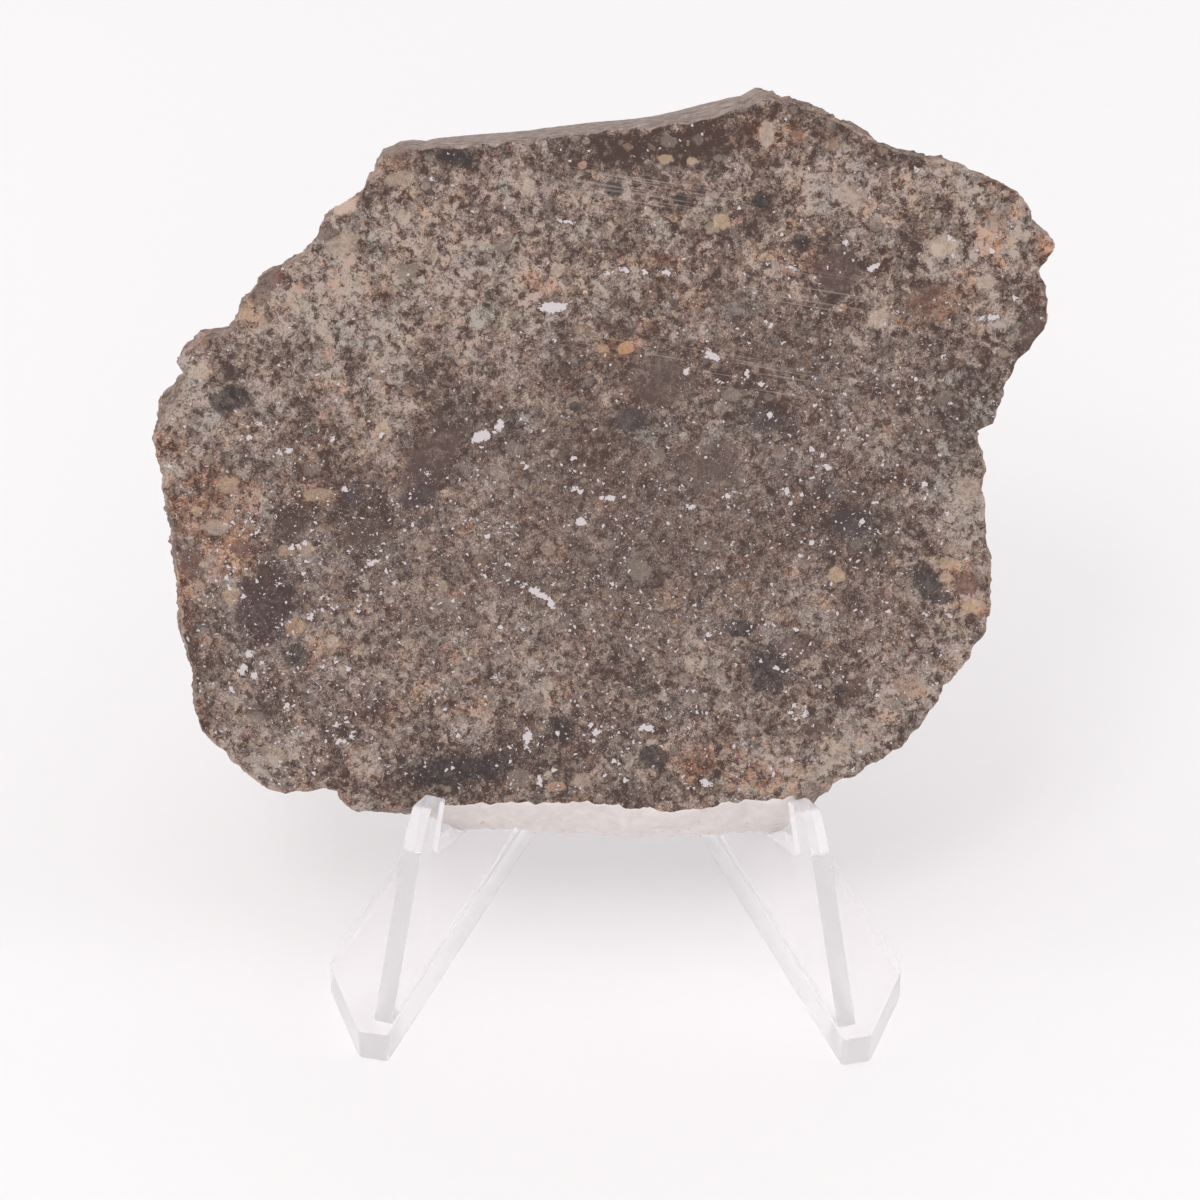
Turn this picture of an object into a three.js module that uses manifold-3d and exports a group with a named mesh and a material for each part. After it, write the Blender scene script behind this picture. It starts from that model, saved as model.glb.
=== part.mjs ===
// A sawn slice of a chondrite meteorite, leaning in a small clear moulded easel.
// Millimetres, +Z up. The sawn face of the slice looks towards -Y and upwards.
// The origin is on the table, under the middle of the object.

import * as THREE from "three";
import { mergeVertices } from "three/addons/utils/BufferGeometryUtils.js";
import Module from "manifold-3d";

const wasm = await Module();
wasm.setup();

const radians = THREE.MathUtils.degToRad;

// ---------------------------------------------------------------- driving dimensions

const LEAN = radians(24); // the slice leans back from upright
const CLEARANCE = 0.3; // between the slice and the easel

// The slice. Its own frame: x across, y from the front face to the back, z up along the face.
const SLICE_THICK = 5.0;
const SLICE_AT = { y: 16.8, z: 16.6 }; // where the slice's frame lies on the easel
const RIM_POINTS = 360; // points around the rim
const RIM_ROWS = 7; // bands of faces from the front edge to the back edge
const SPAN_STEPS = 40; // steps between two outline points that measure the curve's length
const NORMAL_REACH = 3; // points on either side that give the direction out of the rim
const RIM_LUMPS = 0.38; // height of the weathered lumps on the rim
const RIM_EDGE_SHARE = 0.25; // how much of that height is left at the sawn edges
const RIM_BELLY = 0.15; // how far the rim swells between its edges
const EDGE_CHIPS = 0.16; // raggedness of the sawn edges

// The easel: two legs in a V, closed at the back, each a flat foot strip with an upright web.
const LEG_TURN = radians(20.7); // each leg against the front-to-back line
const FOOT = { x: 17.7, y: 3.9 }; // inner front corner of each leg
const BACK_Y = 53.0; // the back end of the easel
const FOOT_STRIP = { wide: 7.8, thick: 2.6 };
const FOOT_TIP = { along: -0.3, out: 2.3 }; // outer corner of the narrow front end
const FOOT_SHOULDER_ALONG = 6.4; // where the strip reaches its full width
const WEB_THICK = 1.5;
const WEB_INSET = 0.2; // the web stands this far in from the inner side of the strip
const WEB_FRONT_ALONG = 0.6; // front of the web on the foot strip
const HOOK = { along: 8.2, z: 15.7 }; // foot of the hook's front face
const HOOK_NOSE = { along: 9.9, z: 17.6 }; // upper front corner of the hook
const HOOK_TOP_Z = 16.7; // the hook's top, where it meets the slice
const SEAT_DROP = 4.25; // the seat, below the slice's own origin, along its face
const REST_TOP_Z = 46.0; // the top of the edge that the slice leans on
const CREST = { wide: 2.4, z: 47.2 }; // the short top edge of the web
const SPINE = { half: 1.6, z: 31.0 }; // the post that joins both webs at the back
const ROOT_Z = 1.0; // webs and post reach down to here, inside the strips
const FOOT_ROUND = { inner: 0.3, tip: 0.5, shoulder: 0.8, back: 1.2 }; // corner radii of the strips
const WEB_ROUND = { hook: 0.5, hookTop: 0.4, seat: 0.3, crest: 0.8, back: 1.2 }; // and of the webs
const SPINE_ROUND = 0.4;
const ROUND_STEPS = 4; // edges on each rounded corner
const BACK_CUT = { half: 20, deep: 20 }; // the block that cuts the back end square
const MERGE = 1e-4; // corners closer than this are one

// The middle of the whole object, moved onto the origin.
const CENTRE = { x: -1.45, y: 28.48 };

// Outline of the slice's front face, clockwise from its top left corner.
// Each point: across, up along the face, and how far the back edge stands out past the front edge.
const OUTLINE = [
  // straight cut along the top
  [-18.4, 49.4, 0.2],
  [-17.4, 50.1, 0.3],
  [-13.5, 50.5, 0.5],
  [-7.5, 51.1, 0.5],
  [-1.8, 51.8, 0.6],
  [4.9, 52.5, 1.0],
  [8.3, 53.4, 0.7],
  [10.8, 54.2, 0.7],
  // right shoulder
  [12.2, 54.1, 0.4],
  [15.0, 53.5, -0.1],
  [17.0, 52.3, -0.3],
  [19.6, 51.0, -0.4],
  [22.6, 50.0, -0.2],
  [25.3, 49.5, -0.2],
  [29.2, 47.9, -0.3],
  [31.0, 46.2, -0.4],
  [31.4, 45.0, -0.4],
  [32.9, 43.6, -0.4],
  [33.0, 42.4, -0.4],
  [31.8, 41.5, -0.3],
  [32.6, 40.1, -0.4],
  [32.5, 37.1, -0.6],
  // right side
  [30.2, 33.9, -0.6],
  [28.8, 29.9, -0.5],
  [27.5, 28.6, -0.3],
  [28.2, 26.4, -0.5],
  [28.1, 23.3, -0.6],
  [28.8, 18.0, -0.7],
  [28.7, 14.4, -0.6],
  [27.6, 11.1, -0.4],
  [25.2, 8.4, -0.2],
  [22.8, 4.7, 0.2],
  [19.6, 2.5, 0.9],
  [16.6, 0.8, 1.7],
  // bottom
  [12.7, -0.4, 3.5],
  [9.6, -0.5, 3.7],
  [6.0, -1.2, 3.4],
  [2.6, -1.3, 3.3],
  [-1.3, -0.8, 3.7],
  [-5.4, -0.8, 3.6],
  [-9.1, -0.8, 3.3],
  [-13.0, -1.1, 2.9],
  [-16.1, -1.2, 1.6],
  [-20.0, -1.5, 0.6],
  [-21.5, -0.9, 0.3],
  [-22.4, 0.2, 0.2],
  [-26.4, 0.0, 0.0],
  // left side
  [-30.2, 2.5, 0.0],
  [-32.7, 5.5, 0.0],
  [-33.0, 9.0, 0.2],
  [-34.0, 14.5, 0.3],
  [-34.7, 21.3, 0.4],
  [-35.7, 27.7, 0.3],
  [-34.9, 29.5, 1.3],
  [-33.7, 31.0, 1.4],
  [-33.2, 32.6, 1.1],
  [-34.0, 33.7, 0.2],
  [-32.2, 35.4, 0.2],
  [-29.9, 36.2, 0.4],
  [-28.4, 39.2, 0.1],
  [-26.0, 41.1, 0.0],
  [-23.9, 42.6, 0.1],
  [-22.6, 44.8, 0.2],
  [-20.0, 46.8, 0.1],
];

// ---------------------------------------------------------------- materials

const STONE = new THREE.MeshStandardMaterial({
  name: "sawn_chondrite",
  color: 0x6b5d52,
  roughness: 0.55,
  metalness: 0,
});
const CLEAR = new THREE.MeshStandardMaterial({
  name: "clear_plastic",
  color: 0xf2f2f4,
  roughness: 0.08,
  metalness: 0,
  transparent: true,
  opacity: 0.35,
});

// ---------------------------------------------------------------- the slice

// The outline as evenly spaced points on a smooth closed curve: x across, y up the face, z the flare.
function outlinePoints() {
  const corners = OUTLINE.map((corner) => new THREE.Vector3(...corner));
  const curve = new THREE.CatmullRomCurve3(corners, true, "catmullrom", 0.5);
  curve.arcLengthDivisions = SPAN_STEPS * OUTLINE.length;
  return curve.getSpacedPoints(RIM_POINTS).slice(0, RIM_POINTS);
}

// Weathered lumps, from -1 to 1: waves of three sizes, the broad ones bent sideways by slower waves.
function lumps(x, y, z) {
  const bend = { x: 0.8 * Math.sin(0.53 * x), z: 1.4 * Math.sin(0.41 * z) };
  const broad = Math.sin(0.62 * x + bend.z + 0.5 * y) * Math.cos(0.71 * z + bend.x);
  const middle = Math.sin(1.55 * x - 1.21 * z + 1.3 * y) * Math.cos(1.35 * z + 0.77 * x - 0.6 * y);
  const small = Math.sin(3.1 * x + 2.3 * z + 1.9 * y) * Math.cos(2.7 * z - 2.9 * x + 1.1 * y);
  return 0.5 * broad + 0.32 * middle + 0.18 * small;
}

// Chips along a sawn edge, from -1 to 1.
function chips(x, z) {
  const coarse = Math.sin(2.3 * x + 1.9 * z + Math.sin(1.3 * x - 1.1 * z));
  const fine = Math.sin(5.3 * x - 4.7 * z);
  return 0.6 * coarse + 0.4 * fine;
}

// One ring of the rim for each depth: the outline, moved out along its own normal by the flare,
// a slight belly and the lumps.
function rimRings() {
  const around = outlinePoints();
  const normals = around.map((_, i) => {
    const before = around[(i + RIM_POINTS - NORMAL_REACH) % RIM_POINTS];
    const after = around[(i + NORMAL_REACH) % RIM_POINTS];
    return new THREE.Vector2(before.y - after.y, after.x - before.x).normalize();
  });
  return Array.from({ length: RIM_ROWS + 1 }, (_, row) => {
    const depth = row / RIM_ROWS;
    const belly = 4 * depth * (1 - depth);
    return around.map(({ x, y: up, z: flare }, i) => {
      const height = RIM_LUMPS * (RIM_EDGE_SHARE + belly);
      const rough = height * lumps(x, SLICE_THICK * depth, up);
      const out = flare * depth + RIM_BELLY * belly + rough + EDGE_CHIPS * chips(x, up);
      return new THREE.Vector3(x + out * normals[i].x, SLICE_THICK * depth, up + out * normals[i].y);
    });
  });
}

// The slice as one closed skin: rings of the rim, and a flat face at each end.
function sliceGeometry() {
  const rings = rimRings();
  const corners = rings.flat().flatMap((p) => [p.x, p.y, p.z]);
  const faces = [];
  for (let row = 0; row < RIM_ROWS; row += 1) {
    for (let i = 0; i < RIM_POINTS; i += 1) {
      const next = (i + 1) % RIM_POINTS;
      const [a, b] = [row * RIM_POINTS + i, row * RIM_POINTS + next];
      const [c, d] = [a + RIM_POINTS, b + RIM_POINTS];
      faces.push(a, b, c, b, d, c);
    }
  }
  const seenFlat = (ring) => ring.map((p) => new THREE.Vector2(p.x, p.z));
  const flat = (ring) => THREE.ShapeUtils.triangulateShape(seenFlat(ring), []);
  const back = RIM_ROWS * RIM_POINTS;
  flat(rings[0]).forEach(([a, b, c]) => faces.push(a, b, c));
  flat(rings[RIM_ROWS]).forEach(([a, b, c]) => faces.push(back + a, back + c, back + b));
  return new THREE.BufferGeometry()
    .setAttribute("position", new THREE.Float32BufferAttribute(corners, 3))
    .setIndex(faces);
}

// ---------------------------------------------------------------- the easel

// A closed shape through corners [x, y, radius], each rounded with a quadratic curve.
function roundedShape(corners) {
  const shape = new THREE.Shape();
  corners.forEach(([x, y, radius = 0], i) => {
    const corner = new THREE.Vector2(x, y);
    const step = (j) => {
      const other = new THREE.Vector2(...corners[(j + corners.length) % corners.length]);
      return corner.clone().add(other.sub(corner).setLength(radius));
    };
    const [start, end] = [step(i - 1), step(i + 1)];
    if (i === 0) shape.moveTo(start.x, start.y);
    else shape.lineTo(start.x, start.y);
    if (radius > 0) shape.quadraticCurveTo(x, y, end.x, end.y);
  });
  shape.closePath();
  return shape;
}

// A prism of a rounded shape as a closed solid, placed by a matrix.
function prism(corners, depth, matrix = new THREE.Matrix4()) {
  const geometry = new THREE.ExtrudeGeometry(roundedShape(corners), {
    depth,
    bevelEnabled: false,
    curveSegments: ROUND_STEPS,
  });
  geometry.deleteAttribute("normal");
  geometry.deleteAttribute("uv");
  const merged = mergeVertices(geometry.applyMatrix4(matrix), MERGE);
  return new wasm.Manifold(
    new wasm.Mesh({
      numProp: 3,
      vertProperties: merged.attributes.position.array,
      triVerts: new Uint32Array(merged.index.array),
    }),
  );
}

// Where a place on a leg lies in plan: so far along it, and so far out from its inner side.
// side is -1 for the left leg and 1 for the right one.
function onLeg(side, along, out) {
  const [sin, cos] = [Math.sin(LEG_TURN), Math.cos(LEG_TURN)];
  return [side * (FOOT.x - along * sin + out * cos), FOOT.y + along * cos + out * sin];
}

// Where the inner sides of both legs are as close together as the spine is wide.
function spineFront() {
  return FOOT.y + (FOOT.x - SPINE.half) / Math.tan(LEG_TURN);
}

// The foot strips in plan: a V with narrow front ends and a straight back end.
function footPlan() {
  const sin = Math.sin(LEG_TURN);
  const cos = Math.cos(LEG_TURN);
  const backAlong = (BACK_Y - FOOT.y - FOOT_STRIP.wide * sin) / cos;
  const half = (side) => [
    [...onLeg(side, 0, 0), FOOT_ROUND.inner],
    [...onLeg(side, FOOT_TIP.along, FOOT_TIP.out), FOOT_ROUND.tip],
    [...onLeg(side, FOOT_SHOULDER_ALONG, FOOT_STRIP.wide), FOOT_ROUND.shoulder],
    [...onLeg(side, backAlong, FOOT_STRIP.wide), FOOT_ROUND.back],
  ];
  const fork = [
    [SPINE.half, spineFront()],
    [-SPINE.half, spineFront()],
  ];
  return [...fork, ...half(-1), ...half(1).reverse()];
}

// The web from the side: distance along the leg, and height. The web stands at an angle to the slice,
// so its outer side sets the hook's clearance and its inner side that of the edge the slice leans on.
function webProfile() {
  const [sin, cos] = [Math.sin(LEG_TURN), Math.cos(LEG_TURN)];
  const inner = WEB_INSET;
  const outer = WEB_INSET + WEB_THICK;
  // A place behind the slice's front face and up along it, seen on a plane of the web.
  const bySlice = (depth, up, out) => [
    (SLICE_AT.y + depth * Math.cos(LEAN) + up * Math.sin(LEAN) - FOOT.y - out * sin) / cos,
    SLICE_AT.z - depth * Math.sin(LEAN) + up * Math.cos(LEAN),
  ];
  const upTo = (z, depth) => (z - SLICE_AT.z + depth * Math.sin(LEAN)) / Math.cos(LEAN);
  const rest = SLICE_THICK + CLEARANCE;
  const seat = -SEAT_DROP - CLEARANCE;
  const restTop = bySlice(rest, upTo(REST_TOP_Z, rest), inner);
  const spineAlong = (BACK_Y - FOOT.y) / cos;
  return [
    [WEB_FRONT_ALONG, ROOT_Z],
    [HOOK.along, HOOK.z, WEB_ROUND.hook],
    [HOOK_NOSE.along, HOOK_NOSE.z, WEB_ROUND.hook],
    [...bySlice(-CLEARANCE, upTo(HOOK_TOP_Z, -CLEARANCE), outer), WEB_ROUND.hookTop],
    [...bySlice(-CLEARANCE, seat, outer), WEB_ROUND.seat],
    [...bySlice(rest, seat, inner), WEB_ROUND.seat],
    [...restTop, WEB_ROUND.crest],
    [restTop[0] + CREST.wide, CREST.z, WEB_ROUND.back],
    [spineAlong, SPINE.z, WEB_ROUND.back],
    [spineAlong, ROOT_Z],
  ];
}

// The web of one leg: the profile, standing on the strip and given its thickness.
function web(side) {
  const [sin, cos] = [Math.sin(LEG_TURN), Math.cos(LEG_TURN)];
  const along = new THREE.Vector3(-side * sin, cos, 0);
  const up = new THREE.Vector3(0, 0, 1);
  const through = new THREE.Vector3().crossVectors(along, up);
  const matrix = new THREE.Matrix4().makeBasis(along, up, through);
  const start = side > 0 ? WEB_INSET : WEB_INSET + WEB_THICK;
  matrix.setPosition(...onLeg(side, 0, start), 0);
  return prism(webProfile(), WEB_THICK, matrix);
}

// Everything behind the back end of the easel, to be cut off square.
function behindTheBack() {
  const corners = [
    [-BACK_CUT.half, BACK_Y],
    [BACK_CUT.half, BACK_Y],
    [BACK_CUT.half, BACK_Y + BACK_CUT.deep],
    [-BACK_CUT.half, BACK_Y + BACK_CUT.deep],
  ];
  return prism(corners, 2 * REST_TOP_Z, new THREE.Matrix4().makeTranslation(0, 0, -REST_TOP_Z));
}

// The post where the webs meet.
function spine() {
  const corners = [
    [-SPINE.half, spineFront()],
    [SPINE.half, spineFront()],
    [SPINE.half, BACK_Y, SPINE_ROUND],
    [-SPINE.half, BACK_Y, SPINE_ROUND],
  ];
  return prism(corners, SPINE.z - ROOT_Z, new THREE.Matrix4().makeTranslation(0, 0, ROOT_Z));
}

// The whole easel as one moulding, cut off square at the back.
function easelGeometry() {
  const solid = prism(footPlan(), FOOT_STRIP.thick)
    .add(web(-1))
    .add(web(1))
    .add(spine())
    .subtract(behindTheBack());
  const { vertProperties, triVerts } = solid.getMesh();
  return new THREE.BufferGeometry()
    .setAttribute("position", new THREE.Float32BufferAttribute(vertProperties, 3))
    .setIndex(Array.from(triVerts));
}

// ---------------------------------------------------------------- the object

// A named piece with its geometry and its look.
function mesh(name, geometry, look) {
  geometry.computeVertexNormals();
  const made = new THREE.Mesh(geometry, look);
  made.name = name;
  return made;
}

const slice = mesh("meteorite_slice", sliceGeometry(), STONE);
slice.position.set(0, SLICE_AT.y, SLICE_AT.z);
slice.rotation.x = -LEAN;

const easel = mesh("display_easel", easelGeometry(), CLEAR);

const object = new THREE.Group();
object.name = "chondrite_slice_on_easel";
object.add(easel, slice);
object.position.set(-CENTRE.x, -CENTRE.y, 0);

export default object;
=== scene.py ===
"""A sawn slice of a chondrite leaning in a small clear moulded easel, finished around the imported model."""

from math import cos, pi, radians, sin

import bmesh
import bpy
import numpy as np
from mathutils import Matrix, Vector


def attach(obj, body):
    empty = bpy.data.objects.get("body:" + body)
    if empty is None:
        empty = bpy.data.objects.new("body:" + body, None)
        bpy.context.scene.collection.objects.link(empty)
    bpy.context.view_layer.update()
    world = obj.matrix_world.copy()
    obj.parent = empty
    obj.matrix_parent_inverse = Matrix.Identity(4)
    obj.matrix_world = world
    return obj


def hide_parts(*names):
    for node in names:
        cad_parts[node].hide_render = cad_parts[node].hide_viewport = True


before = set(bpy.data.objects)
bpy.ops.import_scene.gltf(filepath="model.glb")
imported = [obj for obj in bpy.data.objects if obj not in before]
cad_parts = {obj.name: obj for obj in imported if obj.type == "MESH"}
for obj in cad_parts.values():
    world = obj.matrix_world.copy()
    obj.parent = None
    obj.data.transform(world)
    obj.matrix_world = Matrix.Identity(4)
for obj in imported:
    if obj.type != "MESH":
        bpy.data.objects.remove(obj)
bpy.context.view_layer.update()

MM = 0.001
BODY = "root"

# ---------------------------------------------------------------- the slice's own frame
# x across, depth from the sawn front face to the back face, up along the face. In millimetres.

LEAN = radians(24)
SLICE_AT = np.array([1.45, -11.68, 16.6])
THICK = 5.0
CAD_RINGS = 8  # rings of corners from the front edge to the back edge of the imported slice
MIDDLE = (-1.0, 25.0)  # every ring of the rim is seen whole from here

# ---------------------------------------------------------------- what shows on the sawn face
# Tone, warmth and plenty of metal: across, up, half width, half height, turn in degrees, strength.

TONES = [
    (-21, 40, 11, 9, 20, 0.9), (-7.5, 38.8, 5, 1.8, 12, 0.9), (16.5, 46.5, 3.2, 2.6, 20, 1.2),
    (11.5, 51.3, 2.6, 1.4, 10, 0.9), (22.3, 48, 1.6, 1.6, 0, 0.9), (28.5, 44.5, 3, 2.2, 0, 1.0),
    (24.5, 42.8, 1.4, 1.2, 0, 0.9), (20, 37.5, 1.6, 1.5, 0, 1.0), (7, 36.5, 3, 1.6, -15, 0.4),
    (-31, 29.5, 3.6, 3, 0, 0.7), (-17.5, 31, 2.4, 3.4, 0, 0.8), (27.3, 18, 2.4, 3.6, 0, 1.0),
    (24, 24, 2.6, 1.6, 0, 0.7), (22.5, 9.5, 3.2, 4.2, -20, 0.9), (10.5, 3, 4.8, 3.2, 0, 0.8),
    (17.5, 3.5, 4, 2.2, 10, 0.6), (-27, 4, 4, 3, -20, 0.6), (-20, 2.6, 1.6, 1.6, 0, 0.8),
    (-22.5, 12, 2, 2.5, 0, 0.5), (-31.5, 18, 2.4, 2, 0, 0.6), (-15, 11, 9, 5.5, 0, 0.3),
    (3.5, 50.9, 7.5, 1.5, 8, -2.5), (1.3, 49.3, 1.2, 1.2, 0, -1.2), (11.2, 53.6, 1.6, 0.9, 0, -1.4),
    (-12.5, 49.7, 3.2, 0.9, -8, -1.4), (17.2, 51.6, 2.2, 1.3, 0, -1.1), (20.2, 49.7, 2.0, 1.0, 0, -1.0),
    (24.8, 46.6, 2.2, 1.5, 0, -1.1), (11, 46.3, 2.6, 1.4, 0, -1.2), (4.4, 46.6, 1.3, 1.1, 0, -1.0),
    (8, 43.6, 2.4, 1.2, -35, -0.9), (-18.5, 46.4, 1.8, 1.0, 10, -0.9), (-30, 32.5, 1.2, 2.4, 20, -1.1),
    (-21, 32.8, 1.8, 1.4, 0, -0.7), (-14.5, 32.5, 1.4, 3.5, 20, -0.6), (-14.5, 26, 4.5, 2.6, 50, -1.5),
    (-19.8, 21.8, 2.0, 2.2, 0, -1.4), (-30.1, 33.2, 1.2, 0.8, 0, -1.2),
    (-25.2, 21.5, 1.3, 1.1, -30, -1.4), (-12.0, 1.9, 5.6, 2.0, 12, -1.9),
    (-4.4, 5.1, 1.8, 1.8, 0, -1.2), (-22, 6, 2.4, 1.6, 0, -0.6), (2.8, 2.6, 1.5, 1.1, -20, -1.2),
    (18.5, 8.3, 1.7, 1.0, 0, -1.1), (17, 22, 4.8, 3, -15, -1.1), (11.6, 30, 1.6, 1.8, 0, -1.2),
    (5, 28, 12, 8, 0, -0.55), (-2, 26.5, 2, 2.8, 0, -0.7), (0, 18, 16, 5, 0, -0.25),
    (5, 33.3, 5, 1.8, 0, -0.7), (32.3, 36.8, 1.3, 2.6, -15, -1.6), (27.5, 30.5, 3.0, 4, 0, -0.6),
    (26.9, 24.4, 1.6, 1.5, 0, 1.0), (1.0, 29.6, 2.2, 1.6, 0, -0.7), (15, 38.5, 3.2, 5, 0, -0.6),
    (28.3, 16.3, 1.3, 1.0, 0, -0.9), (-33.6, 14, 0.8, 6, 4, -1.0),
]
WARMTHS = [
    (-31.5, 22.5, 3.2, 3.8, 10, 1.5), (-29.3, 18.8, 1.5, 1.6, 0, 1.2), (-24.3, 23.4, 1.8, 1.4, 0, 1.5),
    (-23, 27.6, 1.6, 1.2, 0, 0.7), (0, 35.2, 2.0, 0.7, 8, 2.0), (2.2, 36.6, 1.3, 0.8, 40, 1.0),
    (2.4, 42.2, 2.2, 0.9, 0, 1.1), (-4, 40.6, 2.4, 0.8, 10, 0.6), (11.8, 41.2, 1.6, 1.5, 0, 1.0),
    (14.4, 42.2, 1.4, 0.9, 0, 0.8), (8, 45.2, 1.2, 0.8, 0, 0.9), (10.8, 52, 2.8, 1.3, 8, 1.3),
    (28.6, 43, 1.6, 3, 0, 0.8), (24.4, 38.6, 2.6, 2.0, 0, 0.9), (32.4, 43.3, 1.0, 1.3, 0, 1.5),
    (6.2, 2.3, 2.2, 1.8, 0, 1.5), (11, 1.6, 2.2, 1.2, 0, 0.9), (26.3, 18, 1.5, 1.3, 0, 1.1),
    (28, 15, 1.2, 1.2, 0, 1.0), (-16, 7.3, 2.4, 1.4, 0, 0.8), (-23, 10.6, 1.6, 1.1, 0, 0.9),
    (-12, 11.2, 2.4, 1, 0, 0.5), (-12, 22.5, 2, 1.6, 0, 0.4), (-18.2, 49, 1.6, 1.0, 0, 1.1),
    (-28.5, 38.2, 1.2, 1.6, 0, 1.2), (-33.6, 13, 1, 5, 4, 0.9), (-33, 5, 1, 3, -30, 0.8),
    (1, 28.8, 2.6, 1.4, 0, -1.3), (27, 29, 4.5, 5, 0, -1.2), (10, 28, 7, 4, 0, -0.5),
    (-9, 28, 3, 2, 0, -0.7), (18, 21.4, 2.2, 1.5, 0, -1.0), (1, 17.6, 2.4, 1.4, 0, -0.8),
    (-12.2, 1.9, 4.4, 1.6, 0, -0.8),
]
METAL_PLENTY = [
    (-5, 17, 26, 12, 0, 0.85), (-26, 13, 10, 15, 0, 1.05), (20, 10, 9, 9, 0, 0.5),
    (17, 30, 10, 8, 0, 0.8), (-2, 4, 17, 4.5, 0, 0.65),
]
# Where the stone is more even than elsewhere.
EVEN = [
    (3, 24, 20, 9, -10, 0.8), (-6, 16, 16, 6, 0, 0.5), (10, 36, 8, 4, -10, 0.5),
]
# Lines left by the saw and by handling: middle of the patch, half sizes, turn, strength.
SCUFFED = [
    (1, 47.3, 9, 1.8, -3, 1.2), (-6, 35.6, 7, 1.2, 2, 0.8), (10.5, 33.4, 9, 1.6, -12, 1.5),
    (14.5, 39, 7, 3, -10, 0.8),
]

# Metal grains big enough to place: across, up, half length, half width, turn in degrees.
METAL_GRAINS = [
    (-5.1, 38.3, 1.15, 0.42, 0), (7.0, 34.7, 0.75, 0.34, -25), (-10.7, 28.2, 0.75, 0.42, 18),
    (-9.2, 29.1, 0.5, 0.3, 60), (0.3, 41.2, 0.45, 0.2, -10), (-0.9, 41.0, 0.3, 0.15, 10),
    (3.6, 41.0, 0.6, 0.22, -10), (19.3, 41.6, 0.42, 0.25, 20), (17.2, 43.4, 0.4, 0.24, -10),
    (28.6, 37.8, 0.5, 0.26, 0), (27.7, 37.8, 0.2, 0.18, 0), (11.4, 37.1, 0.4, 0.2, -35),
    (7.7, 37.2, 0.25, 0.15, -30), (9.7, 33.0, 0.3, 0.18, 20), (10.9, 32.5, 0.36, 0.2, 10),
    (7.7, 32.6, 0.22, 0.16, 0), (12.9, 41.5, 0.36, 0.18, -10), (-4.1, 44.9, 0.6, 0.13, -5),
    (-25.7, 26.9, 0.55, 0.18, 12), (-28.0, 29.1, 0.4, 0.14, 5), (-34.7, 25.7, 0.4, 0.2, -15),
    (-22.1, 28.0, 0.22, 0.3, 0), (-21.2, 24.0, 0.34, 0.22, 30), (-14.7, 25.3, 0.24, 0.2, 0),
    (-3.4, 24.2, 0.36, 0.22, 25), (-0.7, 23.5, 0.42, 0.3, 15), (-2.9, 21.6, 0.4, 0.32, 0),
    (5.6, 22.9, 0.42, 0.18, 20), (13.0, 24.0, 0.18, 0.3, 0), (-8.6, 20.6, 0.5, 0.14, -5),
    (-19.2, 18.2, 0.7, 0.22, 28), (-17.9, 17.6, 0.3, 0.16, -50), (-17.4, 16.6, 0.26, 0.22, 0),
    (-22.8, 15.5, 0.32, 0.2, 0), (-30.4, 16.9, 0.2, 0.2, 0), (-7.4, 16.6, 0.55, 0.2, -30),
    (-6.1, 15.9, 0.9, 0.3, -30), (-5.1, 15.0, 0.4, 0.2, -40), (-28.7, 10.9, 0.28, 0.4, 20),
    (-29.2, 9.7, 0.45, 0.28, 60), (-28.3, 9.2, 0.3, 0.24, 0), (-25.6, 10.9, 0.2, 0.24, 0),
    (7.1, 12.9, 0.4, 0.15, 12), (2.2, 5.3, 0.6, 0.24, 8), (-1.6, 4.9, 0.42, 0.24, 25),
    (-7.0, 4.3, 0.26, 0.85, -4), (-9.4, 9.2, 0.3, 0.2, 0), (7.0, 0.9, 0.45, 0.22, -25),
    (-6.0, 1.0, 0.2, 0.5, 0), (13.2, 9.9, 0.24, 0.22, 0), (13.1, 11.3, 0.3, 0.15, 25),
    (24.0, 14.6, 0.34, 0.16, 15), (25.6, 14.4, 0.18, 0.26, 40), (9.8, 4.1, 0.2, 0.18, 0),
    (16.0, 26.0, 0.42, 0.15, -35), (15.8, 27.0, 0.22, 0.14, 0), (25.3, 31.0, 0.2, 0.18, 0),
    (23.0, 31.5, 0.22, 0.2, 0), (19.6, 23.3, 0.35, 0.15, -20), (-30.1, 8.0, 0.22, 0.3, 30),
    (-24.9, 5.0, 0.2, 0.3, 0), (-12.4, 4.6, 0.25, 0.2, 0),
]
# Rings of small metal grains around one chondrule: across, up, radius.
METAL_RINGS = [(-21.4, 4.8, 0.8), (14.1, 6.7, 0.62), (-28.4, 21.0, 0.6)]
RING_COUNT = 8
RING_GRAIN = (0.31, 0.22)  # half sizes of one grain, in shares of the ring's radius
OUT_OF_STEP = 13  # degrees

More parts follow.
